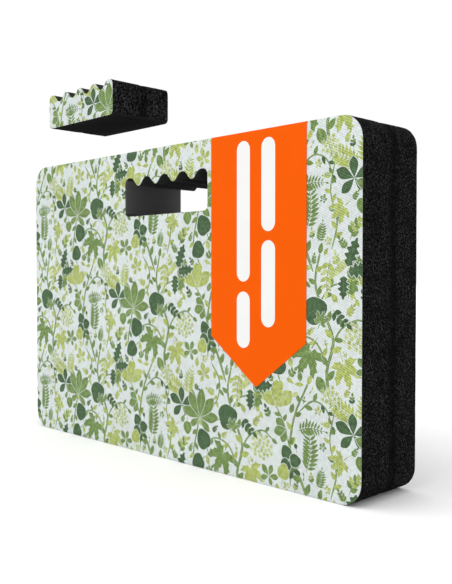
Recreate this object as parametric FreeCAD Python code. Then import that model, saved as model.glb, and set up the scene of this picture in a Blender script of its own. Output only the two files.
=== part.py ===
import FreeCAD, Part
import math
import os

# Kneeling pad: a thick slab of two bonded foam layers with printed fabric on its face,
# a handle hole with finger scallops, a label on the face, and the block cut from the hole.
# Millimetres. The pad stands on its long edge: X runs along it, Y from face to back, Z up.
# The origin is at the middle of the bottom of the whole object's box.

PAD_LENGTH = 432.0
PAD_HEIGHT = 280.0
CORNER_RADIUS = 18.5

FABRIC_THICKNESS = 0.8
FABRIC_GLUE_THICKNESS = 0.2
FRONT_FOAM_THICKNESS = 37.0
BOND_THICKNESS = 1.0
BACK_FOAM_THICKNESS = 31.0
LABEL_THICKNESS = 0.4

FABRIC_TRIM = 0.3
GLUE_TRIM = 0.5

HOLE_CENTRE_X = 0.5
HOLE_BOTTOM_Z = 220.0
HOLE_TOP_Z = 255.5
HOLE_LOWER_RADIUS = 4.0
HOLE_UPPER_RADIUS = 5.2
FINGER_COUNT = 5
FINGER_PITCH = 24.6
FINGER_DEPTH = 8.2
FINGER_RADIUS = 7.0
TOOTH_RADIUS = 4.3
END_MARGIN = 7.3

KNIFE_CUT = 0.35
CUTOUT_SHIFT_X = -132.4
CUTOUT_SHIFT_Z = 98.9

LABEL_WIDTH = 103.0
LABEL_CENTRE_X = 114.2
LABEL_SHOULDER_Z = 114.5
LABEL_TIP_Z = 76.3
LABEL_TIP_RADIUS = 3.0

PAD_THICKNESS = (
    FABRIC_THICKNESS
    + FABRIC_GLUE_THICKNESS
    + FRONT_FOAM_THICKNESS
    + BOND_THICKNESS
    + BACK_FOAM_THICKNESS
)
FACE_Y = (LABEL_THICKNESS - PAD_THICKNESS) / 2
OUTPUT_FOLDER = "parts"

# Each layer's thickness and how far its edge is trimmed back from the foam's edge, face to back.
LAYERS = (
    ("face_fabric", FABRIC_THICKNESS, FABRIC_TRIM),
    ("fabric_glue_film", FABRIC_GLUE_THICKNESS, GLUE_TRIM),
    ("front_foam_layer", FRONT_FOAM_THICKNESS, 0.0),
    ("foam_bond_layer", BOND_THICKNESS, GLUE_TRIM),
    ("back_foam_layer", BACK_FOAM_THICKNESS, 0.0),
)


def point(x, z):
    """A point of an outline, which is drawn in the XZ plane."""
    return FreeCAD.Vector(x, 0, z)


def on_circle(centre, radius, degrees):
    """The point of a circle at an angle counted from +X towards +Z."""
    angle = math.radians(degrees)
    return centre + FreeCAD.Vector(radius * math.cos(angle), 0, radius * math.sin(angle))


def arc(centre, radius, start, end):
    """An arc of a circle from one angle to another, as an edge."""
    middle = on_circle(centre, radius, (start + end) / 2)
    ends = on_circle(centre, radius, start), on_circle(centre, radius, end)
    return Part.Arc(ends[0], middle, ends[1]).toShape()


def closed_wire(edges):
    """Join edges that follow each other with straight lines where they leave a gap."""
    joined = []
    for i, edge in enumerate(edges):
        joined.append(edge)
        end = edge.valueAt(edge.LastParameter)
        following = edges[(i + 1) % len(edges)]
        start = following.valueAt(following.FirstParameter)
        if end.distanceToPoint(start) > Part.Precision.confusion() * 100:
            joined.append(Part.LineSegment(end, start).toShape())
    return Part.Wire(Part.__sortEdges__(joined))


def pad_outline(trim):
    """The pad's outer outline, a rectangle with round corners, trimmed back all round."""
    radius = CORNER_RADIUS - trim
    right = PAD_LENGTH / 2 - CORNER_RADIUS
    top = PAD_HEIGHT - CORNER_RADIUS
    return closed_wire(
        [
            arc(point(-right, top), radius, 180, 90),
            arc(point(right, top), radius, 90, 0),
            arc(point(right, CORNER_RADIUS), radius, 0, -90),
            arc(point(-right, CORNER_RADIUS), radius, -90, -180),
        ]
    )


def finger_scallops(grow):
    """The arcs of the hole's upper side from left to right: fingers with a tooth between each two."""
    finger_z = HOLE_TOP_Z - FINGER_RADIUS
    tooth_z = HOLE_TOP_Z - FINGER_DEPTH + TOOTH_RADIUS
    across, up = FINGER_PITCH / 2, tooth_z - finger_z
    # The straight flank between a finger and a tooth touches both circles at this angle.
    reach = (FINGER_RADIUS + TOOTH_RADIUS) / math.hypot(across, up)
    flank = math.degrees(math.atan2(up, across) + math.acos(reach))
    first_x = HOLE_CENTRE_X - FINGER_PITCH * (FINGER_COUNT - 1) / 2
    arcs = []
    for i in range(FINGER_COUNT):
        x = first_x + i * FINGER_PITCH
        start = 90 if i == 0 else 180 - flank
        end = 90 if i == FINGER_COUNT - 1 else flank
        arcs.append(arc(point(x, finger_z), FINGER_RADIUS + grow, start, end))
        if i < FINGER_COUNT - 1:
            centre = point(x + across, tooth_z)
            arcs.append(arc(centre, TOOTH_RADIUS - grow, flank + 180, 360 - flank))
    return arcs


def hole_outline(grow):
    """The handle hole's outline, made larger all round by a distance, or smaller if it is negative."""
    half = FINGER_PITCH * (FINGER_COUNT - 1) / 2 + END_MARGIN
    upper_z = HOLE_TOP_Z - HOLE_UPPER_RADIUS
    lower_z = HOLE_BOTTOM_Z + HOLE_LOWER_RADIUS
    upper, lower = half - HOLE_UPPER_RADIUS, half - HOLE_LOWER_RADIUS
    upper_radius, lower_radius = HOLE_UPPER_RADIUS + grow, HOLE_LOWER_RADIUS + grow
    return closed_wire(
        [arc(point(HOLE_CENTRE_X - upper, upper_z), upper_radius, 180, 90)]
        + finger_scallops(grow)
        + [
            arc(point(HOLE_CENTRE_X + upper, upper_z), upper_radius, 90, 0),
            arc(point(HOLE_CENTRE_X + lower, lower_z), lower_radius, 0, -90),
            arc(point(HOLE_CENTRE_X - lower, lower_z), lower_radius, -90, -180),
        ]
    )


def label_outline():
    """A banner that hangs from the pad's top edge and ends in a blunt point."""
    left, right = LABEL_CENTRE_X - LABEL_WIDTH / 2, LABEL_CENTRE_X + LABEL_WIDTH / 2
    top = PAD_HEIGHT - FABRIC_TRIM
    slope = math.degrees(math.atan2(LABEL_SHOULDER_Z - LABEL_TIP_Z, LABEL_WIDTH / 2))
    # A circle of this radius, this far above the sharp point, touches both slanting edges.
    rise = LABEL_TIP_RADIUS / math.cos(math.radians(slope))
    tip = arc(point(LABEL_CENTRE_X, LABEL_TIP_Z + rise), LABEL_TIP_RADIUS, slope - 90, -90 - slope)
    return closed_wire(
        [
            Part.LineSegment(point(left, LABEL_SHOULDER_Z), point(left, top)).toShape(),
            Part.LineSegment(point(right, top), point(right, LABEL_SHOULDER_Z)).toShape(),
            tip,
        ]
    )


def slab(wire, front_y, thickness):
    """The solid of an outline from a face at front_y backwards."""
    face = Part.Face(wire)
    face.translate(FreeCAD.Vector(0, front_y, 0))
    return face.extrude(FreeCAD.Vector(0, thickness, 0))


def pad_layer(front_y, thickness, trim):
    """One layer of the pad, with the handle hole through it."""
    whole = slab(pad_outline(trim), front_y, thickness)
    return whole.cut(slab(hole_outline(trim), front_y - thickness, 3 * thickness))


def cutout_layer(front_y, thickness, trim):
    """One layer of the block from the handle hole, where the block is held above the pad."""
    block = slab(hole_outline(-KNIFE_CUT - trim), front_y, thickness)
    block.translate(FreeCAD.Vector(CUTOUT_SHIFT_X, 0, CUTOUT_SHIFT_Z))
    return block


def save(name, shape):
    """Check one sub-part and write its STEP file."""
    solid = shape.Solids[0]
    if len(shape.Solids) != 1 or not solid.isValid():
        raise ValueError(name + " isn't one valid solid")
    solid.exportStep(os.path.join(OUTPUT_FOLDER, name + ".step"))
    box = solid.BoundBox
    size = [round(v, 2) for v in (box.XLength, box.YLength, box.ZLength)]
    print(name, size, "mm, volume", round(solid.Volume / 1000, 1), "cm3")


def main():
    os.makedirs(OUTPUT_FOLDER, exist_ok=True)
    front_y = FACE_Y
    for name, thickness, trim in LAYERS:
        save(name, pad_layer(front_y, thickness, trim))
        save("cutout_" + name, cutout_layer(front_y, thickness, trim))
        front_y += thickness
    save("banner_label", slab(label_outline(), FACE_Y - LABEL_THICKNESS, LABEL_THICKNESS))


main()
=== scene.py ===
import math
import random

import bmesh
import bpy
import numpy as np
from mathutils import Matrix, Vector, kdtree, noise
from mathutils.bvhtree import BVHTree
from mathutils.geometry import delaunay_2d_cdt


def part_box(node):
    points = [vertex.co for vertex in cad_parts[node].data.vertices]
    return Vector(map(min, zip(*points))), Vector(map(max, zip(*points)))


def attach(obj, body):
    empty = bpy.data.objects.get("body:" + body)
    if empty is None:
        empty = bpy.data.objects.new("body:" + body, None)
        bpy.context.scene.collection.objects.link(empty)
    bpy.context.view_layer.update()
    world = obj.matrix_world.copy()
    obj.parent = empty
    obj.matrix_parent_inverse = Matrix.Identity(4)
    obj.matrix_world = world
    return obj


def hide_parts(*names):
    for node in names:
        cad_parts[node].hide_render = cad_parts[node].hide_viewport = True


# A kneeling pad of two bonded foam layers with printed fabric on its face, a scalloped handle hole,
# a banner label, and the block cut from the hole. Lengths are metres; the print is drawn in millimetres.

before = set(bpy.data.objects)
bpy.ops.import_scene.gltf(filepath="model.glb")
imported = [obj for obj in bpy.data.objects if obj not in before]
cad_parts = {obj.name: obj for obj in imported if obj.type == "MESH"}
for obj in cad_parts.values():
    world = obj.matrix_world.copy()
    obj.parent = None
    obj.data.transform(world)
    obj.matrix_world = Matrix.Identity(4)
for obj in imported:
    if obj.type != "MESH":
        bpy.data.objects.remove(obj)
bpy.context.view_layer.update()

MM = 0.001

# Camera: its place, its turn about Z from looking along +Y, and its tilt above level
CAMERA_PLACE = (0.5406, -0.4864, 0.1682)
CAMERA_TURN = math.radians(45.565)
CAMERA_TILT = math.radians(-1.49)
LENS_MM = 48.32
SENSOR_MM = 36

# Light: a white room, a soft sun overhead and a low disc that reaches into the handle hole
ROOM_STRENGTH = 1.0
KEY_STRENGTH = 1.1
KEY_SOFTNESS = math.radians(60)
KEY_PLACE = (-0.5, -0.8, 1.1)
FILL_POWER = 1.9
FILL_SIZE = 1.0
FILL_PLACE = (2.2, -1.5, 0.4)
FILL_AIM = (0, 0, 0.2)
FLOOR_HALF = 8

# Mesh steps and tolerances. The rows are how far inside a cut edge extra points lie.
LEVEL_GAP = 0.01 * MM
SAME_POINT = 1e-7
WELD_GAP = 0.003 * MM
SHARP_EDGE = math.radians(50)
OUTLINE_STEP = 1.5 * MM
LABEL_STEP = 3 * MM
FOAM_STEP = 1.6 * MM
GRID_STEP = 8 * MM
LABEL_GRID_STEP = 6 * MM
EDGE_ROWS_MM = (0.5, 1.1, 1.9, 3.0)

# Foam walls: the round of the free edge, the knife's ripple, and the valley along the bond
FOAM_EDGE = 0.45 * MM
FOAM_RIPPLE = 0.22 * MM
FINE_RIPPLE_LENGTH = 3.1 * MM
BROAD_RIPPLE_LENGTH = 26 * MM
HOLE_RIPPLE = 0.4
BOND_VALLEY = 0.3 * MM
BOND_WIDTH = 3.5 * MM

# Fabric face: the drop at its cut edge and its gentle waves
EDGE_DROP = 0.45 * MM
EDGE_SOFT = 3.2 * MM
FACE_WAVE = 0.14 * MM
WAVE_LENGTH = 70 * MM
WAVE_SOFT = 8 * EDGE_SOFT

# Print: a half-drop repeat, in millimetres
REPEAT_ACROSS = complex(92, 91)
REPEAT_DOWN = complex(92, -91)

PRINT_COLOURS = {
    "ground": (224, 232, 231),
    "lime": (179, 193, 110),
    "lime_pale": (194, 205, 143),
    "leaf": (121, 148, 86),
    "leaf_pale": (151, 173, 119),
    "stem": (118, 143, 85),
    "dark": (80, 107, 74),
    "dark_pale": (102, 129, 93),
    "edge": (118, 126, 116),
}
LABEL_COLOURS = {"banner": (255, 98, 0), "bar": (252, 252, 250), "film_edge": (226, 88, 10)}
FLOOR_COLOUR = (250, 250, 250)


def linear(colour):
    """A colour of 0 to 255 as the linear RGBA that a shader takes."""
    parts = [c / 255 for c in colour]
    return [p / 12.92 if p <= 0.04045 else ((p + 0.055) / 1.055) ** 2.4 for p in parts] + [1]


# ---------------------------------------------------------------- outlines


def outline_loops(node):
    """The outlines of a flat layer's front as closed rings of x + z*i, with the material on the left.

    An edge that two faces share runs both ways, so its two directions cancel.
    """
    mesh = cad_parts[node].data
    front = min(v.co.y for v in mesh.vertices)
    places, following = {}, {}
    for face in mesh.polygons:
        corners = [mesh.vertices[i].co for i in face.vertices]
        if max(c.y for c in corners) > front + LEVEL_GAP:
            continue
        ring = [(round(c.x, 6), round(c.z, 6)) for c in corners]
        places.update((k, complex(c.x, c.z)) for k, c in zip(ring, corners))
        for a, b in zip(ring, ring[1:] + ring[:1]):
            if following.get(b) and a in following[b]:
                following[b].remove(a)
            else:
                following.setdefault(a, []).append(b)
    loops, seen = [], set()
    for start in [a for a, ends in following.items() if ends]:
        loop, here = [], start
        while here not in seen:
            seen.add(here)
            loop.append(places[here])
            here = following[here][0]
        if loop:
            loops.append(np.array(loop))
    return sorted(loops, key=lambda p: -np.ptp(p.real))


def resample(loop, step):
    """The ring at even steps, with its facets smoothed into curves."""
    closed = np.append(loop, loop[0])
    along = np.concatenate([[0], np.cumsum(np.abs(np.diff(closed)))])
    count = max(16, round(along[-1] / step))
    at = np.arange(count) * along[-1] / count
    ring = np.interp(at, along, closed.real) + 1j * np.interp(at, along, closed.imag)
    for _ in range(2):
        ring = 0.5 * ring + 0.25 * (np.roll(ring, 1) + np.roll(ring, -1))
    return ring


def resample_corners(loop, step):
    """The ring with its long edges divided and its corners kept."""
    ring = []
    for a, b in zip(loop, np.roll(loop, -1)):
        count = max(1, round(abs(b - a) / step))
        ring += [a + (b - a) * k / count for k in range(count)]
    return np.array(ring)


def inward(ring):
    """The unit directions from a ring's points into the material."""
    along = np.roll(ring, -1) - np.roll(ring, 1)
    return 1j * along / np.abs(along)


def ring_area(rings):
    """The area inside the first ring and outside the others."""
    return float(
        sum(0.5 * np.sum(r.real * np.roll(r.imag, -1) - r.imag * np.roll(r.real, -1)) for r in rings)
    )


def smooth_step(t):
    """A soft rise from 0 to 1 as t goes from 0 to 1."""
    t = min(max(t, 0), 1)
    return t * t * (3 - 2 * t)


class Face:
    """The laminated face's relief, called with a point: it waves gently and falls away at its cut edges."""

    def __init__(self, rings, front):
        self.front = front
        self.tree = kdtree.KDTree(sum(len(r) for r in rings))
        for i, p in enumerate(p for ring in rings for p in ring):
            self.tree.insert((p.real, p.imag, 0), i)
        self.tree.balance()

    def __call__(self, p):
        gap = self.tree.find((p.real, p.imag, 0))[2]
        drop = EDGE_DROP * (1 - smooth_step(gap / EDGE_SOFT)) ** 2
        wave = FACE_WAVE * noise.noise(Vector((p.real, 0, p.imag)) / WAVE_LENGTH)
        return self.front + drop + wave * smooth_step(gap / WAVE_SOFT)


# ---------------------------------------------------------------- meshes


def triangulate(rings, shapes=(), points=(), lines=()):
    """Triangles that fill the first ring outside the others, and the last shape over each, or -1.

    The triangles also have corners at the points and edges along the lines.
    """
    verts, faces = [], []
    for ring in list(rings) + list(shapes):
        if ring_area([ring]) < 0:
            ring = ring[::-1]
        faces.append(list(range(len(verts), len(verts) + len(ring))))
        verts += [Vector((p.real, p.imag)) for p in ring]
    edges = [(len(verts) + 2 * i, len(verts) + 2 * i + 1) for i in range(len(lines))]
    ends = [end for line in lines for end in line]
    verts += [Vector((p.real, p.imag)) for p in ends + list(points)]
    out = delaunay_2d_cdt(verts, edges, faces, 0, SAME_POINT, True)
    holes = set(range(1, len(rings)))
    kept = [(t, max(over)) for t, over in zip(out[2], out[5]) if 0 in over and not holes & set(over)]
    used = {old: i for i, old in enumerate(sorted({i for t, _ in kept for i in t}))}
    places = [complex(out[0][i].x, out[0][i].y) for i in used]
    return places, [tuple(used[i] for i in t) for t, _ in kept], [top - len(rings) for _, top in kept]


def partition(rings, shapes=(), points=()):
    """Triangles that fill the first ring outside the others, each with its colour, the last shape's.

    A second pass keeps only the outlines where the colour changes, not those hidden under other shapes.
    """
    places, triangles, tops = triangulate(rings, [ring for _, ring in shapes])
    colours = [shapes[top][0] if top >= 0 else None for top in tops]
    if not shapes:
        return places, triangles, colours
    beside = {}
    for triangle, colour in zip(triangles, colours):
        for i in range(3):
            beside[triangle[i], triangle[(i + 1) % 3]] = colour
    lines = [
        (places[a], places[b]) for (a, b), colour in beside.items()
        if a < b and (b, a) in beside and beside[b, a] != colour
    ]
    flat = BVHTree.FromPolygons([(p.real, p.imag, 0) for p in places], triangles)
    places, triangles, _ = triangulate(rings, (), points, lines)
    middles = [sum(places[i] for i in t) / 3 for t in triangles]
    found = [flat.find_nearest((p.real, p.imag, 0))[2] for p in middles]
    return places, triangles, [colours[i] for i in found]


def rims(triangles):
    """The closed rings of points along the triangles' open edges, the longest first."""
    edges = {(t[i], t[(i + 1) % 3]) for t in triangles for i in range(3)}
    following = {a: b for a, b in edges if (b, a) not in edges}
    rings = []
    while following:
        start = here = next(iter(following))
        ring = []
        while here in following:
            ring.append(here)
            here = following.pop(here)
        assert here == start
        rings.append(ring)
    return sorted(rings, key=len, reverse=True)


def weld(mesh):
    """Join points that all but touch, so that no face is a sliver."""
    net = bmesh.new()
    net.from_mesh(mesh)
    bmesh.ops.remove_doubles(net, verts=net.verts, dist=WELD_GAP)
    net.to_mesh(mesh)
    net.free()


def solid_object(name, verts, faces, materials, slots):
    """A smooth-shaded object whose faces take the materials that the slots number."""
    mesh = bpy.data.meshes.new(name)
    mesh.from_pydata(verts, [], faces)
    for material in materials:
        mesh.materials.append(material)
    mesh.polygons.foreach_set("material_index", slots)
    mesh.polygons.foreach_set("use_smooth", [True] * len(faces))
    weld(mesh)
    mesh.set_sharp_from_angle(angle=SHARP_EDGE)
    piece = bpy.data.objects.new(name, mesh)
    bpy.context.collection.objects.link(piece)
    return piece


def back_cap(verts, loops):
    """Triangles that close the last loops of a solid's walls, facing backwards."""
    end_of = {complex(verts[i][0], verts[i][2]): i for loop in loops for i in loop}
    tree = kdtree.KDTree(len(end_of))
    for place, i in end_of.items():
        tree.insert((place.real, place.imag, 0), i)
    tree.balance()
    outlines = [np.array([complex(verts[i][0], verts[i][2]) for i in loop]) for loop in loops]
    places, triangles, _ = partition(outlines)
    match = [tree.find((p.real, p.imag, 0))[1] for p in places]
    return [(match[c], match[b], match[a]) for a, b, c in triangles]


def slab(name, rings, rows, materials, shapes=(), points=(), relief=None, ripple=None):
    """A closed solid: a front face, walls that follow the rows of (y, inset), and a back face.

    materials has "face" and each colour of the shapes drawn on it, and may have "wall", "hole" and "back".
    Stretches of wall that face up or down may have their own, such as "wall_up" or "hole_down".
    relief gives the front's y at a point, and ripple how much further in a wall stands at a place.
    """
    names = list(materials)
    first_y, first_inset = rows[0]

    def slot(*keys):
        """The number of the first of these materials that there is."""
        return names.index(next(key for key in keys if key in materials))

    def stood_in(ring, way, y, inset, n):
        """Outline n, moved into the material by the row's inset and by the ripple."""
        shift = np.array([ripple(p, y, n) for p in ring]) if ripple else 0
        return ring + way * (inset + shift)

    rings = [stood_in(ring, inward(ring), first_y, first_inset, n) for n, ring in enumerate(rings)]
    places, triangles, colours = partition(rings, shapes, points)
    verts = [(p.real, relief(p) if relief else first_y, p.imag) for p in places]
    faces = list(triangles)
    slots = [slot(colour or "face") for colour in colours]
    loops = rims(triangles)
    outlines = [np.array([places[i] for i in loop]) for loop in loops]
    ways = [inward(outline) for outline in outlines]
    nominal = [
        2 * outline - stood_in(outline, way, first_y, first_inset, n)
        for n, (outline, way) in enumerate(zip(outlines, ways))
    ]
    for y, inset in rows[1:]:
        for n, (loop, outline, way) in enumerate(zip(loops, nominal, ways)):
            kind = "hole" if n else "wall"
            fresh = list(range(len(verts), len(verts) + len(loop)))
            verts += [(p.real, y, p.imag) for p in stood_in(outline, way, y, inset, n)]
            for k in range(len(loop)):
                j = (k + 1) % len(loop)
                faces.append((loop[j], loop[k], fresh[k], fresh[j]))
                # Walls that face up or down take their own copy of a material; the foam's copies hold
                # painted light and shade
                tilt = "_up" if way[k].imag < -0.5 else "_down" if way[k].imag > 0.5 else ""
                slots.append(slot(kind + tilt, kind, "wall", "face"))
            loops[n] = fresh
    cap = back_cap(verts, loops)
    slots += [slot("back", "face")] * len(cap)
    return solid_object(name, verts, faces + cap, materials.values(), slots)


# ---------------------------------------------------------------- print motifs
# A motif is a list of (colour, outline), later ones on top. Outlines are rings of complex points in
# millimetres, drawn with the stalk at 0 and the tip along +x.


def turned(motif, degrees, place=0):
    """The motif turned about its stalk, with the stalk moved to a place."""
    spin = np.exp(1j * math.radians(degrees))
    return [(colour, ring * spin + place) for colour, ring in motif]


def bordered(motif):
    """The motif with a border of bare cloth round its first shape."""
    margin = 0.45
    return [("ground", motif[0][1] - inward(motif[0][1]) * margin)] + motif


def blade(length, width, widest=0.45, steps=8):
    """A simple leaf's outline, with its widest place as a share of its length."""
    fullness = 0.85
    t = np.linspace(0, 1, steps + 1)
    bend = math.log(0.5) / math.log(widest)
    half = width / 2 * np.abs(np.sin(math.pi * t**bend)) ** fullness
    half[0] = half[-1] = 0
    return np.concatenate([t * length - 1j * half, (t * length + 1j * half)[-2:0:-1]])


def rib(start, end, width):
    """A vein that tapers from start to end."""
    side = 1j * (end - start) / abs(end - start) * width / 2
    return np.array([start - side, end - side * 0.3, end + side * 0.3, start + side])


def curve(points):
    """A smooth line through some points, four steps from each to the next."""
    steps = 4
    ends = [2 * points[0] - points[1]] + list(points) + [2 * points[-1] - points[-2]]
    line = []
    for a, b, c, d in zip(ends, ends[1:], ends[2:], ends[3:]):
        for t in np.linspace(0, 1, steps, endpoint=False):
            bend = (2 * a - 5 * b + 4 * c - d) * t**2 + (3 * b - a - 3 * c + d) * t**3
            line.append(b + 0.5 * ((c - a) * t + bend))
    return np.array(line + [points[-1]])


def ribbon(points, width, end_width):
    """A stem that runs smoothly through its points, thin where it starts."""
    line = curve(points)
    along = np.gradient(line)
    half = np.linspace(width, end_width, len(line)) / 2
    half[:2] *= 0.3, 0.8
    side = 1j * along / np.abs(along) * half
    return np.concatenate([line - side, (line + side)[::-1]])


def leaf_with_veins(colour, vein, length, width, veins=0, **shape):
    """A leaf with a midrib and pairs of side veins."""
    motif = [(colour, blade(length, width, **shape))]
    motif.append((vein, rib(0, complex(0.86 * length, 0), 0.5)))
    for i in range(veins):
        t = 0.16 + 0.62 * i / veins
        reach = 0.40 * width * math.sin(math.pi * (t + 0.08)) ** 0.7
        for side in (1, -1):
            end = complex(t * length + reach * 0.7, side * reach)
            motif.append((vein, rib(complex(t * length, 0), end, 0.34)))
    return motif


def palmate(colour, vein, length, spread, veins=6, slim=0.4):
    """Leaflets that spread from one point, given as (degrees, share of the length)."""
    motif = []
    for angle, share in sorted(spread, key=lambda pair: -abs(pair[0])):
        size = length * share
        leaflet = leaf_with_veins(colour, vein, size, size * slim, veins, widest=0.62, steps=9)
        motif += turned(bordered(leaflet), angle)
    return motif


# Half of a maple leaf's outline: degrees away from its tip, and share of its size
MAPLE_HALF = (
    (0, 1.0), (5, 0.84), (13, 0.86), (11, 0.68), (20, 0.62), (25, 0.42), (36, 0.66), (35, 0.80),
    (45, 0.98), (52, 0.80), (62, 0.80), (62, 0.62), (74, 0.54), (80, 0.38), (92, 0.56), (99, 0.74),
    (111, 0.56), (124, 0.54), (130, 0.34), (152, 0.30),
)


def maple(colour, vein, size, narrow=1.0):
    """A lobed leaf with toothed points."""
    half = [size * r * np.exp(1j * math.radians(a * narrow)) for a, r in MAPLE_HALF]
    centre = 0.28 * size
    ring = np.array(half + [0.05 * size - 0.1j] + [np.conj(p) for p in half[:0:-1]]) + centre
    motif = [("ground", ring - inward(ring) * 0.3)]
    motif += [(colour, rib(0.1 * size, -0.4 * size, 1.0)), (colour, ring)]
    for angle, reach in ((0, 0.8), (45, 0.75), (-45, 0.75), (99, 0.5), (-99, 0.5)):
        tip = centre + size * reach * np.exp(1j * math.radians(angle * narrow))
        motif.append((vein, rib(complex(0.2 * size), tip, 0.55)))
    return motif


def oak(colour, vein, length, width):
    """A leaf with round lobes along both sides."""
    lobes = 4.5
    t = np.linspace(0, 1, 29)
    envelope = np.sin(math.pi * t**0.8) ** 0.7
    half = width / 2 * envelope * (0.74 + 0.26 * np.cos(2 * math.pi * lobes * t + math.pi))
    half[0] = half[-1] = 0
    ring = np.concatenate([t * length - 1j * half, (t * length + 1j * half)[-2:0:-1]])
    return bordered([(colour, ring), (vein, rib(0, complex(0.85 * length, 0), 0.6))])


def fern(colour, length, pairs, bend=0.25, reach=0.34):
    """A frond: pairs of narrow leaflets that shorten towards the tip of a bent stalk."""
    slant = 58

    def spine(t):
        """The stalk's point at a share of its length."""
        return length * complex(t, bend * t * t)

    motif = [(colour, ribbon([spine(t) for t in (0, 0.5, 1)], 0.9, 0.4))]
    for i in range(pairs):
        t = 0.08 + 0.88 * i / pairs
        along = math.degrees(math.atan2(2 * bend * t, 1))
        size = length * reach * math.sin(math.pi * (0.25 + 0.72 * t)) ** 0.8
        for side in (1, -1):
            leaflet = [(colour, blade(size, size * 0.32, widest=0.4, steps=4))]
            motif += turned(leaflet, along + side * slant, spine(t))
    tip = [(colour, blade(length * 0.12, 1.6, steps=4))]
    return motif + turned(tip, math.degrees(math.atan(2 * bend)), spine(1))


def leafy(points, colours, leaf, count, width=0.8, shape=0.5, slant=48):
    """A stem through some points that bears leaves to both sides by turns, and one at its tip."""
    first, last = 0.15, 0.96
    motif = [("stem", ribbon(points, width, width * 0.6))]
    line = curve(points)
    along = np.gradient(line)
    for i in range(count):
        at = (first + (last - first) * i / count) * (len(line) - 1)
        k = int(at)
        base = line[k] + (line[k + 1] - line[k]) * (at - k)
        way = math.degrees(math.atan2(along[k].imag, along[k].real))
        size = leaf * (1 - 0.3 * i / count)
        one = [(colours[(i // 2) % len(colours)], blade(size, size * shape, steps=6))]
        motif += turned(one, way + (slant if i % 2 else -slant), base)
    way = math.degrees(math.atan2(along[-1].imag, along[-1].real))
    tip = [(colours[-1], blade(leaf * 0.85, leaf * 0.85 * shape, steps=6))]
    return motif + turned(tip, way, line[-1])


def sprig(colours, length, pairs, leaf, bend=0.15, shape=0.55):
    """A bent stalk with pairs of oval leaves and one at its tip."""
    slant = 48
    end = complex(length, bend * length)
    motif = [("stem", ribbon([0, complex(length / 2, bend * length / 4), end], 0.8, 0.5))]
    for i in range(pairs):
        t = (i + 0.6) / (pairs + 0.4)
        base = complex(length * t, bend * length * t * t)
        size = leaf * (1 - 0.3 * t)
        for side in (1, -1):
            one = [(colours[i % len(colours)], blade(size, size * shape, steps=5))]
            motif += turned(one, side * slant + 60 * bend * t, base)
    tip = [(colours[-1], blade(leaf * 0.85, leaf * 0.85 * shape, steps=5))]
    return motif + turned(tip, 60 * bend, end)


# Florets are set out like a sunflower's seeds, each turned by the golden angle, in radians
GOLDEN_ANGLE = 2.39996
FLORET_RADIUS = 2.7


def blossom(colours, width, height, florets):
    """A flower head: small five-petalled florets packed in an oval."""
    motif = []
    turn = np.linspace(0, 2 * math.pi, 10, endpoint=False)
    for i in range(florets):
        r, a = math.sqrt((i + 0.4) / florets), i * GOLDEN_ANGLE
        petals = FLORET_RADIUS * (1 - 0.2 * r) * (0.78 + 0.3 * np.cos(5 * turn)) * np.exp(1j * (turn + i))
        place = complex(width / 2 * r * math.cos(a), height / 2 * r * math.sin(a))
        motif.append(("ground", petals * 1.22 + place))
        motif.append((colours[i % len(colours)], petals + place))
    return motif


def round_leaf(colour, vein, size, stalk=0.5):
    """A broad leaf that is nearly a disc, with a notch at its stalk and a small point."""
    a = np.linspace(0, 2 * math.pi, 24, endpoint=False)
    r = size / 2 * (1 + 0.26 * np.maximum(0, np.cos(a)) ** 9 - 0.2 * np.maximum(0, -np.cos(a)) ** 9)
    ring = r * np.exp(1j * a) + 0.44 * size
    motif = bordered([(colour, ring), (vein, rib(0, complex(0.8 * size, 0), 0.5))])
    for t, side in ((0.2, 1), (0.2, -1), (0.42, 1), (0.42, -1)):
        end = complex((t + 0.2) * size, side * 0.27 * size)
        motif.append((vein, rib(complex(t * size, 0), end, 0.34)))
    return [(colour, rib(0.1 * size, -stalk * size, 0.9))] + motif


def trefoil(colour, vein, size):
    """Three round leaflets on a short stalk, with two smaller ones below."""
    motif = [(colour, rib(0, -1.1 * size, 0.7))]
    for angle, share in ((0, 1.0), (112, 0.95), (-112, 0.95)):
        base = 0.6 * np.exp(1j * math.radians(angle))
        motif += turned(round_leaf(colour, vein, size * share, 0), angle, base)
    lower = [(colour, blade(size * 0.7, size * 0.42, widest=0.55))]
    for side in (1, -1):
        motif += turned(lower, 180 - side * 52, -0.75 * size)
    return motif


def wings(colour, size):
    """A pair of small seed wings."""
    one = [(colour, blade(size, size * 0.42, widest=0.62, steps=5))]
    return turned(one, 14) + turned(one, 166)


def drop(colour, size):
    """A bud on a stalk."""
    return [(colour, rib(0, -0.5 * size, 0.6)), (colour, blade(size, size * 0.72, widest=0.6, steps=7))]


# The climbing stems: the path, the leaves' colours, size and count, the stem's width, and the leaves' slant
VINES = (
    (((97, -22), (93, 4), (99, 27), (88, 51), (82, 70), (86, 90)), "leaf lime leaf", 10.5, 9, 2.9, 48),
    (((172, -14), (161, 10), (150, 30), (154, 58), (167, 84)), "leaf dark lime", 10, 8, 2.7, 48),
    (((34, 70), (44, 58), (46, 38), (40, 12), (47, -6)), "leaf lime", 9.5, 8, 2.1, 48),
    (((96, 20), (106, 36), (121, 43), (131, 38)), "leaf", 8, 4, 1.8, 60),
    (((94, 6), (84, 24), (68, 29), (54, 22)), "lime leaf", 8, 4, 1.8, 50),
    (((86, 54), (96, 66), (110, 68), (118, 58)), "leaf lime", 8, 4, 1.6, 50),
    (((150, 4), (150, 30), (143, 52), (137, 62)), "leaf", 9, 6, 1.9, 55),
    (((158, 62), (172, 72), (184, 68), (190, 56)), "leaf dark", 8, 4, 1.6, 50),
    (((62, 92), (72, 78), (70, 62), (60, 52)), "lime leaf", 8, 7, 1.6, 48),
    (((5, 2), (10, 22), (4, 44), (8, 66)), "lime leaf", 8, 8, 1.6, 48),
)


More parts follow.
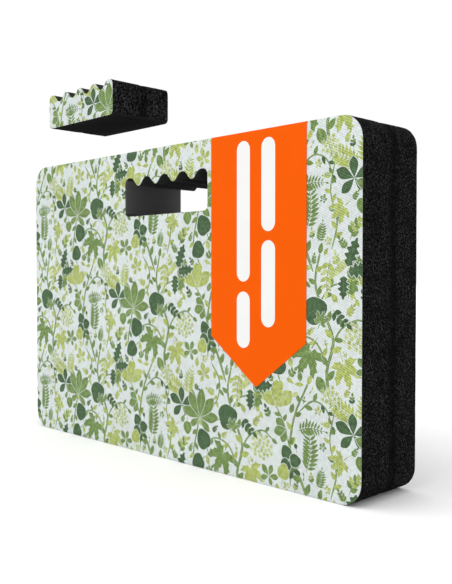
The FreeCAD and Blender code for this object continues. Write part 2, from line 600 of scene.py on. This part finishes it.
def stems():
    """The climbing stems with their leaves, drawn first so that the large leaves lie over them."""
    motif = []
    for path, colours, size, count, width, slant in VINES:
        line = [complex(x, y) for x, y in path]
        vine = leafy(line, colours.split(), size, count, width, slant=slant)
        light = ribbon(line, width * 0.34, width * 0.16)
        motif += vine[:1] + [("leaf_pale", light)] + vine[1:]
    return motif


def large_motifs():
    """The main leaves of one repeat, placed one by one. Each line is the motif, its turn and its place."""
    lime, pale, leaf, dark = "lime", "lime_pale", "leaf", "dark"
    soft, deep = "leaf_pale", "dark_pale"
    fan = ((0, 1.0), (38, 0.98), (-37, 0.98), (78, 0.86), (-76, 0.88), (128, 0.58), (-124, 0.62))
    hand = ((10, 0.9), (72, 1.0), (138, 0.85), (-58, 0.9), (-128, 0.7))
    three = ((0, 1.0), (48, 0.9), (-50, 0.92))
    plan = [
        (stems(), 0, 0),
        (fern(lime, 28, 8, 0.3, 0.36), 138, complex(28, 60)),
        (fern(lime, 23, 7, -0.3, 0.36), 96, complex(34, 62)),
        (palmate(dark, deep, 17.5, hand, 3, 0.5), 84, complex(25, 52)),
        (palmate(leaf, soft, 26, fan), 84, complex(48, 43)),
        (round_leaf(dark, deep, 21), 20, complex(72, 45)),
        (round_leaf(leaf, soft, 10.5), -88, complex(32, 38)),
        (maple(lime, pale, 13, 0.9), 215, complex(18, 34)),
        (maple(leaf, soft, 20.5), 236, complex(80, 22)),
        (maple(lime, pale, 17), -70, complex(107, 14)),
        (round_leaf(dark, deep, 17), 120, complex(57, 18)),
        (round_leaf(dark, deep, 15), 215, complex(52, 9)),
        (blossom((lime, pale), 24, 21, 28), 0, complex(120, 30)),
        (maple(leaf, soft, 9), 65, complex(86, 38)),
        (palmate(lime, pale, 22, three, 5, 0.55), 94, complex(137, 63)),
        (palmate(leaf, soft, 13.5, three, 3, 0.6), 200, complex(146, 48)),
        (trefoil(dark, deep, 11), 118, complex(149, 24)),
        (fern(leaf, 34, 10, 0.42, 0.28), 66, complex(166, 18)),
        (fern(leaf, 24, 8, -0.4, 0.3), 28, complex(158, 48)),
        (leaf_with_veins(pale, lime, 34, 6), 40, complex(2, -20)),
        (oak(dark, deep, 22, 12.5), 66, complex(19, -10)),
        (oak(dark, deep, 20, 12), 8, complex(20, -14)),
        (oak(dark, deep, 17, 11), 268, complex(16, -17)),
        (sprig((leaf, lime), 26, 5, 9, 0.1), 256, complex(120, 90)),
        (sprig((leaf,), 24, 4, 9, -0.2, 0.5), 84, complex(112, 58)),
        (sprig((lime, pale), 22, 4, 9, 0.2, 0.45), 250, complex(96, 86)),
        (sprig((dark,), 16, 3, 7, 0.2, 0.6), 310, complex(98, 50)),
        (palmate(leaf, soft, 11, hand, 2, 0.5), 60, complex(128, 8)),
        (round_leaf(lime, pale, 12), 80, complex(142, 8)),
        (wings(lime, 9), -12, complex(62, -8)),
        (wings(pale, 9), 10, complex(58, -18)),
        (blossom((pale, lime), 17, 14, 14), 0, complex(4, 78)),
        (leaf_with_veins(leaf, soft, 15, 9, 3), 300, complex(84, 0)),
    ]
    return [shape for motif, turn, place in plan for shape in turned(motif, turn, place)]


# The gaps are filled from large motifs to small: the radius of each pass's motifs, and its tries. A
# motif needs only the crowding's share of its radius free. The cells are the two repeats' millimetres.
FILL_SEED = 11
FILL_PASSES = ((11, 500), (9, 900), (7.2, 1400), (5.6, 1600), (4.2, 1200), (3.1, 500))
CROWDING = 0.84
CELLS = 184, 182


def inside(places, ring):
    """Which places lie inside a ring, by counting the edges to their right."""
    x, y = places.real[:, None], places.imag[:, None]
    a, b = ring[None, :], np.roll(ring, -1)[None, :]
    spans = (a.imag > y) != (b.imag > y)
    height = np.where(b.imag == a.imag, 1, b.imag - a.imag)
    cross = a.real + (y - a.imag) * (b.real - a.real) / height
    return (np.sum(spans & (x < cross), axis=1) % 2).astype(bool)


class Ground:
    """Which millimetres are covered, in a cell of two repeats that wraps round at its edges."""

    def __init__(self):
        self.taken = np.zeros(CELLS, bool)

    def cover(self, ring):
        """Mark what lies inside a ring and under its points, in both repeats of the cell."""
        xs = np.arange(math.floor(ring.real.min()), math.ceil(ring.real.max()) + 1)
        ys = np.arange(math.floor(ring.imag.min()), math.ceil(ring.imag.max()) + 1)
        grid = (xs[:, None] + 1j * ys[None, :]).ravel()
        rim = np.round(ring.real) + 1j * np.round(ring.imag)
        hit = np.concatenate([grid[inside(grid, ring)], rim])
        for shift in (0, REPEAT_ACROSS):
            moved = hit + shift
            xs, ys = moved.real.astype(int) % CELLS[0], moved.imag.astype(int) % CELLS[1]
            self.taken[xs, ys] = True

    def free(self, place, reach):
        """Whether nothing is covered within reach of a place."""
        span = np.arange(-math.ceil(reach), math.ceil(reach) + 1)
        near = (span[:, None] ** 2 + span[None, :] ** 2) <= reach**2
        xs = (round(place.real) + span) % CELLS[0]
        ys = (round(place.imag) + span) % CELLS[1]
        return not (self.taken[np.ix_(xs, ys)] & near).any()


# A small motif's colour, its veins, and the second colour of its leaves
SMALL_COLOURS = (
    ("lime", "lime_pale", "leaf"), ("lime", "lime_pale", "lime_pale"), ("leaf", "leaf_pale", "lime"),
    ("leaf", "leaf_pale", "leaf"), ("leaf", "leaf_pale", "dark"), ("dark", "dark_pale", "leaf"),
)


def small_motif(rng, size):
    """One of the sprigs, leaves and buds that fill a gap of this radius, centred on 0."""
    colour, vein, other = rng.choice(SMALL_COLOURS)
    long = 2 * size
    kind = rng.randrange(4)
    hand = ((0, 1.0), (62, 0.85), (-60, 0.85), (128, 0.7), (-126, 0.65))
    path = [0, complex(size, 1), complex(long * 0.85, -2)]
    if size > 7:
        motif = (
            sprig((colour, other), long * 0.85, 4, size * 0.85, 0.2),
            fern(colour, long, 7, 0.25, 0.4),
            palmate(colour, vein, size, hand, 0, 0.5),
            leafy(path, (colour, other), size * 0.8, 8, shape=0.55),
        )[kind]
    elif size > 4:
        motif = (
            sprig((colour,), long * 0.75, 3, size * 0.85, 0.2),
            sprig((colour, other), long * 0.7, 2, size * 0.95, -0.15, 0.6),
            palmate(colour, vein, size * 1.1, hand, 0, 0.55),
            leaf_with_veins(colour, vein, long, size * 1.15, 2),
        )[kind]
    elif size > 2.8:
        motif = (
            sprig((colour,), long * 0.6, 1, size * 0.95, 0.1, 0.6),
            drop(colour, long * 0.8),
            wings(colour, size * 1.1),
            [(colour, rib(0, -0.4 * size, 0.6)), (colour, blade(long, size * 1.1, steps=5))],
        )[kind]
    else:
        motif = turned([(colour, blade(size, size * 0.6, steps=4))], 40)
        motif += turned([(colour, blade(size, size * 0.6, steps=4))], -35)
    middle = sum(ring.mean() for _, ring in motif) / len(motif)
    return turned([(c, ring - middle) for c, ring in motif], rng.gauss(90, 50))


def print_repeat():
    """All shapes of one repeat: the main leaves and what grows in the gaps between them."""
    shapes = large_motifs()
    ground = Ground()
    for _, ring in shapes:
        ground.cover(ring)
    rng = random.Random(FILL_SEED)
    for size, tries in FILL_PASSES:
        for _ in range(tries):
            place = complex(rng.uniform(0, CELLS[0]), rng.uniform(0, CELLS[1] / 2))
            if ground.free(place, size * CROWDING):
                for colour, ring in small_motif(rng, size):
                    shapes.append((colour, ring + place))
                    ground.cover(ring + place)
    return shapes


# The repeats that are tried each way, enough to cover the pad
REPEATS = range(-6, 8)


def print_over(rings, shapes, shift):
    """The repeat laid over an outline in metres, without the shapes that miss it."""
    low = complex(rings[0].real.min(), rings[0].imag.min())
    high = complex(rings[0].real.max(), rings[0].imag.max())
    placed = []
    for i in REPEATS:
        for j in REPEATS:
            move = (i * REPEAT_ACROSS + j * REPEAT_DOWN) * MM + shift
            for colour, ring in shapes:
                ring = ring * MM + move
                if (
                    ring.real.max() > low.real and ring.real.min() < high.real
                    and ring.imag.max() > low.imag and ring.imag.min() < high.imag
                ):
                    placed.append((colour, ring))
    return placed


def relief_points(rings):
    """Points inside an outline that let its face bend: rows near the cut edge and an even grid."""
    points = []
    for ring in rings:
        way = inward(ring)
        for inset in EDGE_ROWS_MM:
            points += list((ring + way * inset * MM)[::2])
    low = complex(rings[0].real.min(), rings[0].imag.min())
    high = complex(rings[0].real.max(), rings[0].imag.max())
    for x in np.arange(low.real + GRID_STEP, high.real, GRID_STEP):
        for z in np.arange(low.imag + GRID_STEP, high.imag, GRID_STEP):
            points.append(complex(x, z))
    return points


# ---------------------------------------------------------------- materials


class Nodes:
    """A material's node tree, with short ways to add and join nodes."""

    def __init__(self, name):
        self.material = bpy.data.materials.new(name)
        self.material.use_nodes = True
        self.tree = self.material.node_tree
        self.shader = self.tree.nodes["Principled BSDF"]

    def add(self, kind, inputs=None, **settings):
        """A new node, with its inputs set to values or joined to other nodes' outputs."""
        node = self.tree.nodes.new("ShaderNode" + kind)
        for key, value in settings.items():
            setattr(node, key, value)
        for key, value in (inputs or {}).items():
            if isinstance(value, bpy.types.NodeSocket):
                self.tree.links.new(value, node.inputs[key])
            else:
                node.inputs[key].default_value = value
        return node

    def maths(self, operation, *values):
        """The result of a sum or other operation on values or sockets."""
        return self.add("Math", dict(enumerate(values)), operation=operation).outputs[0]

    def place(self):
        """The place on the object, in metres."""
        return self.add("TexCoord").outputs["Object"]

    def noise(self, scale, detail=2.0, roughness=0.5):
        """Noise of 0 to 1, with this many waves in a metre."""
        settings = {"Vector": self.place(), "Scale": scale, "Detail": detail, "Roughness": roughness}
        return self.add("TexNoise", settings).outputs["Fac"]

    def spread(self, value, low, high, to_low, to_high):
        """Map a value's range onto another, held at its ends."""
        inputs = {"Value": value, 1: low, 2: high, 3: to_low, 4: to_high}
        return self.add("MapRange", inputs).outputs[0]

    def tint(self, colour, share):
        """A colour made lighter or darker by a share."""
        mixed = self.add("HueSaturation", {"Color": linear(colour), "Value": share})
        return mixed.outputs[0]

    def grey(self, factor, dark, light):
        """A grey that goes from dark to light with a factor."""
        mixed = self.add("Mix", data_type="RGBA")
        self.tree.links.new(factor, mixed.inputs[0])
        mixed.inputs[6].default_value = (dark, dark, dark, 1)
        mixed.inputs[7].default_value = (light, light, light, 1)
        return mixed.outputs[2]

    def finish(self, colour, bump=None, height=0.0, strength=1.0, **sockets):
        """The material, with its colour, a bump of this height, and values for the shader's own sockets."""
        self.tree.links.new(colour, self.shader.inputs["Base Color"])
        if bump is not None:
            inputs = {"Height": bump, "Distance": height, "Strength": strength}
            lifted = self.add("Bump", inputs).outputs["Normal"]
            self.tree.links.new(lifted, self.shader.inputs["Normal"])
        for key, value in sockets.items():
            self.shader.inputs[key.replace("_", " ")].default_value = value
        return self.material


# The printed colours' lightness, the depth to which the weave shades them, and their unevenness
SHADE = 0.75
BARE_THREADS = {"depth": 0.095, "mottle": 0.055}
INKED_THREADS = {"depth": 0.22, "mottle": 0.16}
THREADS_ACROSS = 1.15 * MM
TWILL_DOWN = 1.9 * MM
TWILL_ACROSS = 4.2 * MM


def weave_height(n):
    """A twill: raised diagonal lines, broken up by the threads that cross them."""
    split = n.add("SeparateXYZ", {"Vector": n.place()})
    x, z = split.outputs["X"], split.outputs["Z"]
    wander = n.maths("MULTIPLY", n.noise(40, 1), 5)
    down = n.maths("MULTIPLY", z, 2 * math.pi / TWILL_DOWN)
    across = n.maths("MULTIPLY", x, 2 * math.pi / TWILL_ACROSS)
    lines = n.maths("SINE", n.maths("ADD", n.maths("ADD", down, across), wander))
    threads = n.maths("SINE", n.maths("MULTIPLY", x, 2 * math.pi / THREADS_ACROSS))
    return n.maths("ADD", n.maths("MULTIPLY", lines, 0.7), n.maths("MULTIPLY", threads, 0.3))


def printed_cloth(name, colour, depth, mottle):
    """Printed woven polyester: the weave shades it by depth, and uneven ink by mottle."""
    n = Nodes(name)
    weave = weave_height(n)
    blotch = n.noise(420, 3, 0.6)
    shaded = n.spread(weave, -1, 1, SHADE - depth, SHADE + 0.85 * depth)
    share = n.maths("ADD", shaded, n.spread(blotch, 0.36, 0.64, -mottle, mottle))
    share = n.maths("ADD", share, n.spread(n.noise(22, 1), 0.35, 0.65, -0.02, 0.02))
    height = n.maths("ADD", weave, n.maths("MULTIPLY", blotch, 1.4))
    return n.finish(
        n.tint(colour, share), height, 0.15 * MM, 0.4,
        Roughness=0.85, Specular_IOR_Level=0.1, Sheen_Weight=0.03, Sheen_Roughness=0.5,
    )


def floor_material():
    """A pale matt floor, very slightly uneven."""
    n = Nodes("floor")
    shade = n.spread(n.noise(3, 2), 0.3, 0.7, 0.99, 1.0)
    return n.finish(n.tint(FLOOR_COLOUR, shade), Roughness=0.9, Specular_IOR_Level=0.1)


# Greys of the foam: the torn cells' dark and light, then the dark and light of each smooth surface.
# # The end-wall and sill greys hold painted light, and the underside greys painted shade: lit and shaded
# copies of one cut skin.
CELL_DARK = 0.0016
SKIVED_LIGHT = 0.078
TORN_LIGHT = 0.13
CUT_GREYS = (0.024, 0.028)
UNDERSIDE_SHADE_GREYS = (0.017, 0.021)
END_LIT_GREYS = (0.086, 0.092)
SILL_LIT_GREYS = (0.04, 0.044)
GLUE_GREYS = (0.006, 0.009)


def skived_foam(name, bond_y, light):
    """Black closed-cell foam with torn cells that catch the light, duller in a band by the bond."""
    n = Nodes(name)
    split = n.add("SeparateXYZ", {"Vector": n.place()})
    gap = n.maths("ABSOLUTE", n.maths("SUBTRACT", split.outputs["Y"], bond_y))
    uneven = n.spread(n.noise(90, 2), 0, 1, -3 * MM, 3 * MM)
    band = n.spread(n.maths("ADD", gap, uneven), 2 * MM, 7 * MM, 0.3, 1.0)
    patch = n.spread(n.noise(75, 3), 0.3, 0.62, 0.45, 1.0)
    rough = n.maths("MULTIPLY", band, patch)
    cells = n.noise(680, 3, 0.65)
    specks = n.spread(n.noise(820, 2, 0.6), 0.64, 0.74, 0, 0.9)
    peaks = n.maths("ADD", n.spread(cells, 0.48, 0.68, 0, 0.5), specks)
    return n.finish(
        n.grey(n.maths("MULTIPLY", peaks, rough), CELL_DARK, light),
        n.maths("MULTIPLY", cells, rough), 0.7 * MM, 1.0,
        Roughness=0.9, Specular_IOR_Level=0.02,
    )


def knife_cut_foam(name, greys, gloss=0.03):
    """Black foam with the smooth closed skin of a hot knife or a die, its marks drawn out along Y."""
    n = Nodes(name)
    drag = n.add("Mapping", {"Vector": n.place(), "Scale": (1.0, 0.25, 1.0)}).outputs[0]
    marks = n.add("TexNoise", {"Vector": drag, "Scale": 200.0, "Detail": 2.0}).outputs["Fac"]
    colour = n.grey(n.spread(marks, 0.35, 0.65, 0, 1), *greys)
    return n.finish(colour, marks, 0.08 * MM, 0.3, Roughness=0.8, Specular_IOR_Level=gloss)


def label_film(name, colour, roughness):
    """A thin plastic film, nearly even in colour and with the faintest grain."""
    n = Nodes(name)
    share = n.spread(n.noise(35, 2), 0.3, 0.7, SHADE - 0.012, SHADE + 0.008)
    return n.finish(
        n.tint(colour, share), n.noise(420, 2), 0.02 * MM, 0.25,
        Roughness=roughness, Specular_IOR_Level=0.03,
    )


# ---------------------------------------------------------------- pieces


def foam_rows(front, back, bond_y):
    """Rows of (y, inset) down a foam wall, round at its free edge and straight at its glued one."""
    glued_back = abs(back - bond_y) < abs(front - bond_y)
    free, way = (front, 1) if glued_back else (back, -1)
    length = back - front
    count = round((length - FOAM_EDGE) / FOAM_STEP)
    depths = [0, 0.3 * FOAM_EDGE]
    depths += [FOAM_EDGE + (length - FOAM_EDGE) * k / count for k in range(count + 1)]
    rows = [(free + way * depth, FOAM_EDGE * max(0, 1 - depth / FOAM_EDGE) ** 2) for depth in depths]
    return rows if glued_back else rows[::-1]


def foam_ripple(bond_y):
    """How far in a foam wall stands: uneven by the knife, and outside also drawn in at the bond."""

    def stands_in(p, y, n):
        """The depth at a place on the wall of outline n, where 0 is the outside."""
        at = Vector((p.real, y, p.imag))
        fine = noise.noise(at / FINE_RIPPLE_LENGTH)
        broad = noise.noise(at / BROAD_RIPPLE_LENGTH)
        uneven = FOAM_RIPPLE * (0.45 * fine + 0.55 * broad + 0.5)
        if n:
            return HOLE_RIPPLE * uneven
        return uneven + BOND_VALLEY * math.exp(-(((y - bond_y) / BOND_WIDTH) ** 2))

    return stands_in


def span(node):
    """A node's front and back in y."""
    low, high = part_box(node)
    return low[1], high[1]


def wall_rings(node):
    """A node's outlines at even steps."""
    return [resample(ring, OUTLINE_STEP) for ring in outline_loops(node)]


def foam_piece(name, node, materials, body, bond_y):
    """A foam layer with its knife-cut walls."""
    front, back = span(node)
    rows = foam_rows(front, back, bond_y)
    piece = slab(name, wall_rings(node), rows, materials, ripple=foam_ripple(bond_y))
    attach(piece, body)
    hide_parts(node)


def bond_piece(name, node, beside, materials, body, bond_y):
    """The film between the foam layers, cut off level with them."""
    front, back = span(node)
    piece = slab(
        name, wall_rings(beside), [(front, 0), (back, 0)], materials, ripple=foam_ripple(bond_y)
    )
    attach(piece, body)
    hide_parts(node)


def fabric_piece(name, node, shapes, shift, materials, body):
    """The printed fabric on a foam layer, with its print cut into it as faces. Returns its relief."""
    front, back = span(node)
    rings = wall_rings(node)
    relief = Face(rings, front)
    piece = slab(
        name, rings, [(front, 0), (back, 0)], materials, print_over(rings, shapes, shift),
        relief_points(rings), relief,
    )
    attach(piece, body)
    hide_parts(node)
    return relief


# The label's bars: each column's place from the label's middle, and its bars' ends below the label's top
BAR_WIDTH = 14.5 * MM
BAR_COLUMNS = (
    (13.0 * MM, ((7.0 * MM, 80.0 * MM), (87.0 * MM, 155.0 * MM))),
    (-14.0 * MM, ((7.0 * MM, 119.5 * MM), (127.5 * MM, 173.0 * MM))),
)


def bar(x, top, bottom):
    """A plain bar with round ends."""
    half = BAR_WIDTH / 2
    a = np.linspace(0, math.pi, 13)
    upper = complex(x, top - half) + half * np.exp(1j * a)
    lower = complex(x, bottom + half) + half * np.exp(1j * (a + math.pi))
    return np.concatenate([upper, lower])


def label_piece(relief):
    """The label, a thin film that follows the face's relief and bears plain bars."""
    low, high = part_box("banner_label")
    thick = high[1] - low[1]
    ring = resample_corners(outline_loops("banner_label")[0], LABEL_STEP)
    middle = (low[0] + high[0]) / 2
    bars = [
        ("bar", bar(middle + x, high[2] - start, high[2] - end))
        for x, ends in BAR_COLUMNS
        for start, end in ends
    ]
    margin = 4 * MM
    top_rows = high[2] - np.array(EDGE_ROWS_MM) * MM
    rows = np.concatenate([top_rows, np.arange(low[2], high[2] - margin, LABEL_GRID_STEP)])
    columns = np.arange(low[0] + margin, high[0], LABEL_GRID_STEP)
    grid = [complex(x, z) for x in columns for z in rows]
    materials = {
        "face": label_film("banner_orange", LABEL_COLOURS["banner"], 0.5),
        "bar": label_film("banner_bar", LABEL_COLOURS["bar"], 0.55),
        "wall": label_film("banner_edge", LABEL_COLOURS["film_edge"], 0.6),
    }
    piece = slab(
        "banner", [ring], [(low[1], 0), (high[1], 0)], materials, bars, grid,
        relief=lambda p: relief(p) - thick,
    )
    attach(piece, "pad")
    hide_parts("banner_label")


def paint(node, material):
    """Give a CAD node a material of its own."""
    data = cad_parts[node].data
    data.materials.clear()
    data.materials.append(material)


def cloth_materials():
    """The fabric's materials: one for each printed colour, with the bare ground's as its face's."""
    cloth = {}
    for key, colour in PRINT_COLOURS.items():
        threads = BARE_THREADS if key in ("ground", "edge") else INKED_THREADS
        cloth[key] = printed_cloth("cloth_" + key, colour, **threads)
    cloth["face"] = cloth["ground"]
    cloth["wall"] = cloth.pop("edge")
    return cloth


def foam_materials(bond_y):
    """The foam's materials on the pad and on the block.

    The pad is skived outside, and its hole has one cut skin with painted light: lighter on its end walls
    and its sill than on its top. The block is torn at its back and ends, and cut above and below, with
    painted shade darkening the cut skin of its underside.
    """
    cut = knife_cut_foam("foam_cut", CUT_GREYS)
    pad = {
        "face": skived_foam("foam_skived", bond_y, SKIVED_LIGHT),
        # Painted light: the hole's end walls and sill take lighter copies of the same cut skin
        "hole": knife_cut_foam("foam_cut_end_painted_light", END_LIT_GREYS),
        "hole_up": knife_cut_foam("foam_cut_sill_painted_light", SILL_LIT_GREYS),
        "hole_down": cut,
    }
    block = {
        "face": skived_foam("foam_torn", bond_y, TORN_LIGHT),
        "wall_up": cut,
        # Painted shade: the block's down-facing cut skin is a darker copy of the same cut skin
        "wall_down": knife_cut_foam("foam_cut_painted_shade", UNDERSIDE_SHADE_GREYS, 0.0),
    }
    return pad, block


def build():
    """The pad and the block, layer by layer, in the places of their CAD nodes."""
    shapes = print_repeat()
    cloth = cloth_materials()
    bond_y = sum(span("foam_bond_layer")) / 2
    pad, block = foam_materials(bond_y)
    film = knife_cut_foam("glue_film", GLUE_GREYS)
    relief = fabric_piece("face_print", "face_fabric", shapes, 0, cloth, "pad")
    label_piece(relief)
    # The block's print is the part of the face's that its own hole took away
    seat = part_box("cutout_face_fabric")[0]
    hole = outline_loops("face_fabric")[1]
    shift = complex(seat[0], seat[2]) - complex(hole.real.min(), hole.imag.min())
    fabric_piece(
        "cutout_print", "cutout_face_fabric", shapes, shift, cloth, "handle_cutout"
    )
    for prefix, body, materials in (("", "pad", pad), ("cutout_", "handle_cutout", block)):
        front, back, bond = (prefix + layer for layer in ("front_foam", "back_foam", "bond"))
        bond_layer = prefix + "foam_bond_layer"
        foam_piece(front, front + "_layer", materials, body, bond_y)
        foam_piece(back, back + "_layer", materials, body, bond_y)
        bond_piece(bond, bond_layer, front + "_layer", materials, body, bond_y)
        paint(prefix + "fabric_glue_film", film)


# ---------------------------------------------------------------- studio


def camera():
    """The camera, as the values at the top place it."""
    data = bpy.data.cameras.new("camera")
    data.lens = LENS_MM
    data.sensor_width = SENSOR_MM
    data.clip_start = 0.01
    eye = bpy.data.objects.new("camera", data)
    eye.location = CAMERA_PLACE
    eye.rotation_euler = (math.pi / 2 + CAMERA_TILT, 0, CAMERA_TURN)
    bpy.context.collection.objects.link(eye)
    bpy.context.scene.camera = eye


def aimed(data, place, aim):
    """A lamp at a place, turned towards its aim."""
    lamp = bpy.data.objects.new(data.name, data)
    lamp.location = place
    lamp.rotation_euler = (Vector(aim) - Vector(place)).to_track_quat("-Z", "Y").to_euler()
    bpy.context.collection.objects.link(lamp)


def studio():
    """An even white room with a soft overhead key and a low fill that reaches into the hole."""
    world = bpy.data.worlds.new("studio")
    bpy.context.scene.world = world
    world.use_nodes = True
    back = world.node_tree.nodes["Background"]
    back.inputs["Color"].default_value = (1, 1, 1, 1)
    back.inputs["Strength"].default_value = ROOM_STRENGTH
    key = bpy.data.lights.new("key", "SUN")
    key.energy = KEY_STRENGTH
    key.angle = KEY_SOFTNESS
    aimed(key, KEY_PLACE, (0, 0, 0))
    fill = bpy.data.lights.new("fill", "AREA")
    fill.shape = "DISK"
    fill.size = FILL_SIZE
    fill.energy = FILL_POWER
    aimed(fill, FILL_PLACE, FILL_AIM)
    bpy.context.scene.view_settings.view_transform = "Standard"


def lay_floor():
    """A wide flat floor under the pad."""
    mesh = bpy.data.meshes.new("floor")
    half = FLOOR_HALF
    corners = [(-half, -half, 0), (half, -half, 0), (half, half, 0), (-half, half, 0)]
    mesh.from_pydata(corners, [], [(0, 1, 2, 3)])
    mesh.materials.append(floor_material())
    floor = bpy.data.objects.new("floor", mesh)
    bpy.context.collection.objects.link(floor)


camera()
build()
studio()
lay_floor()
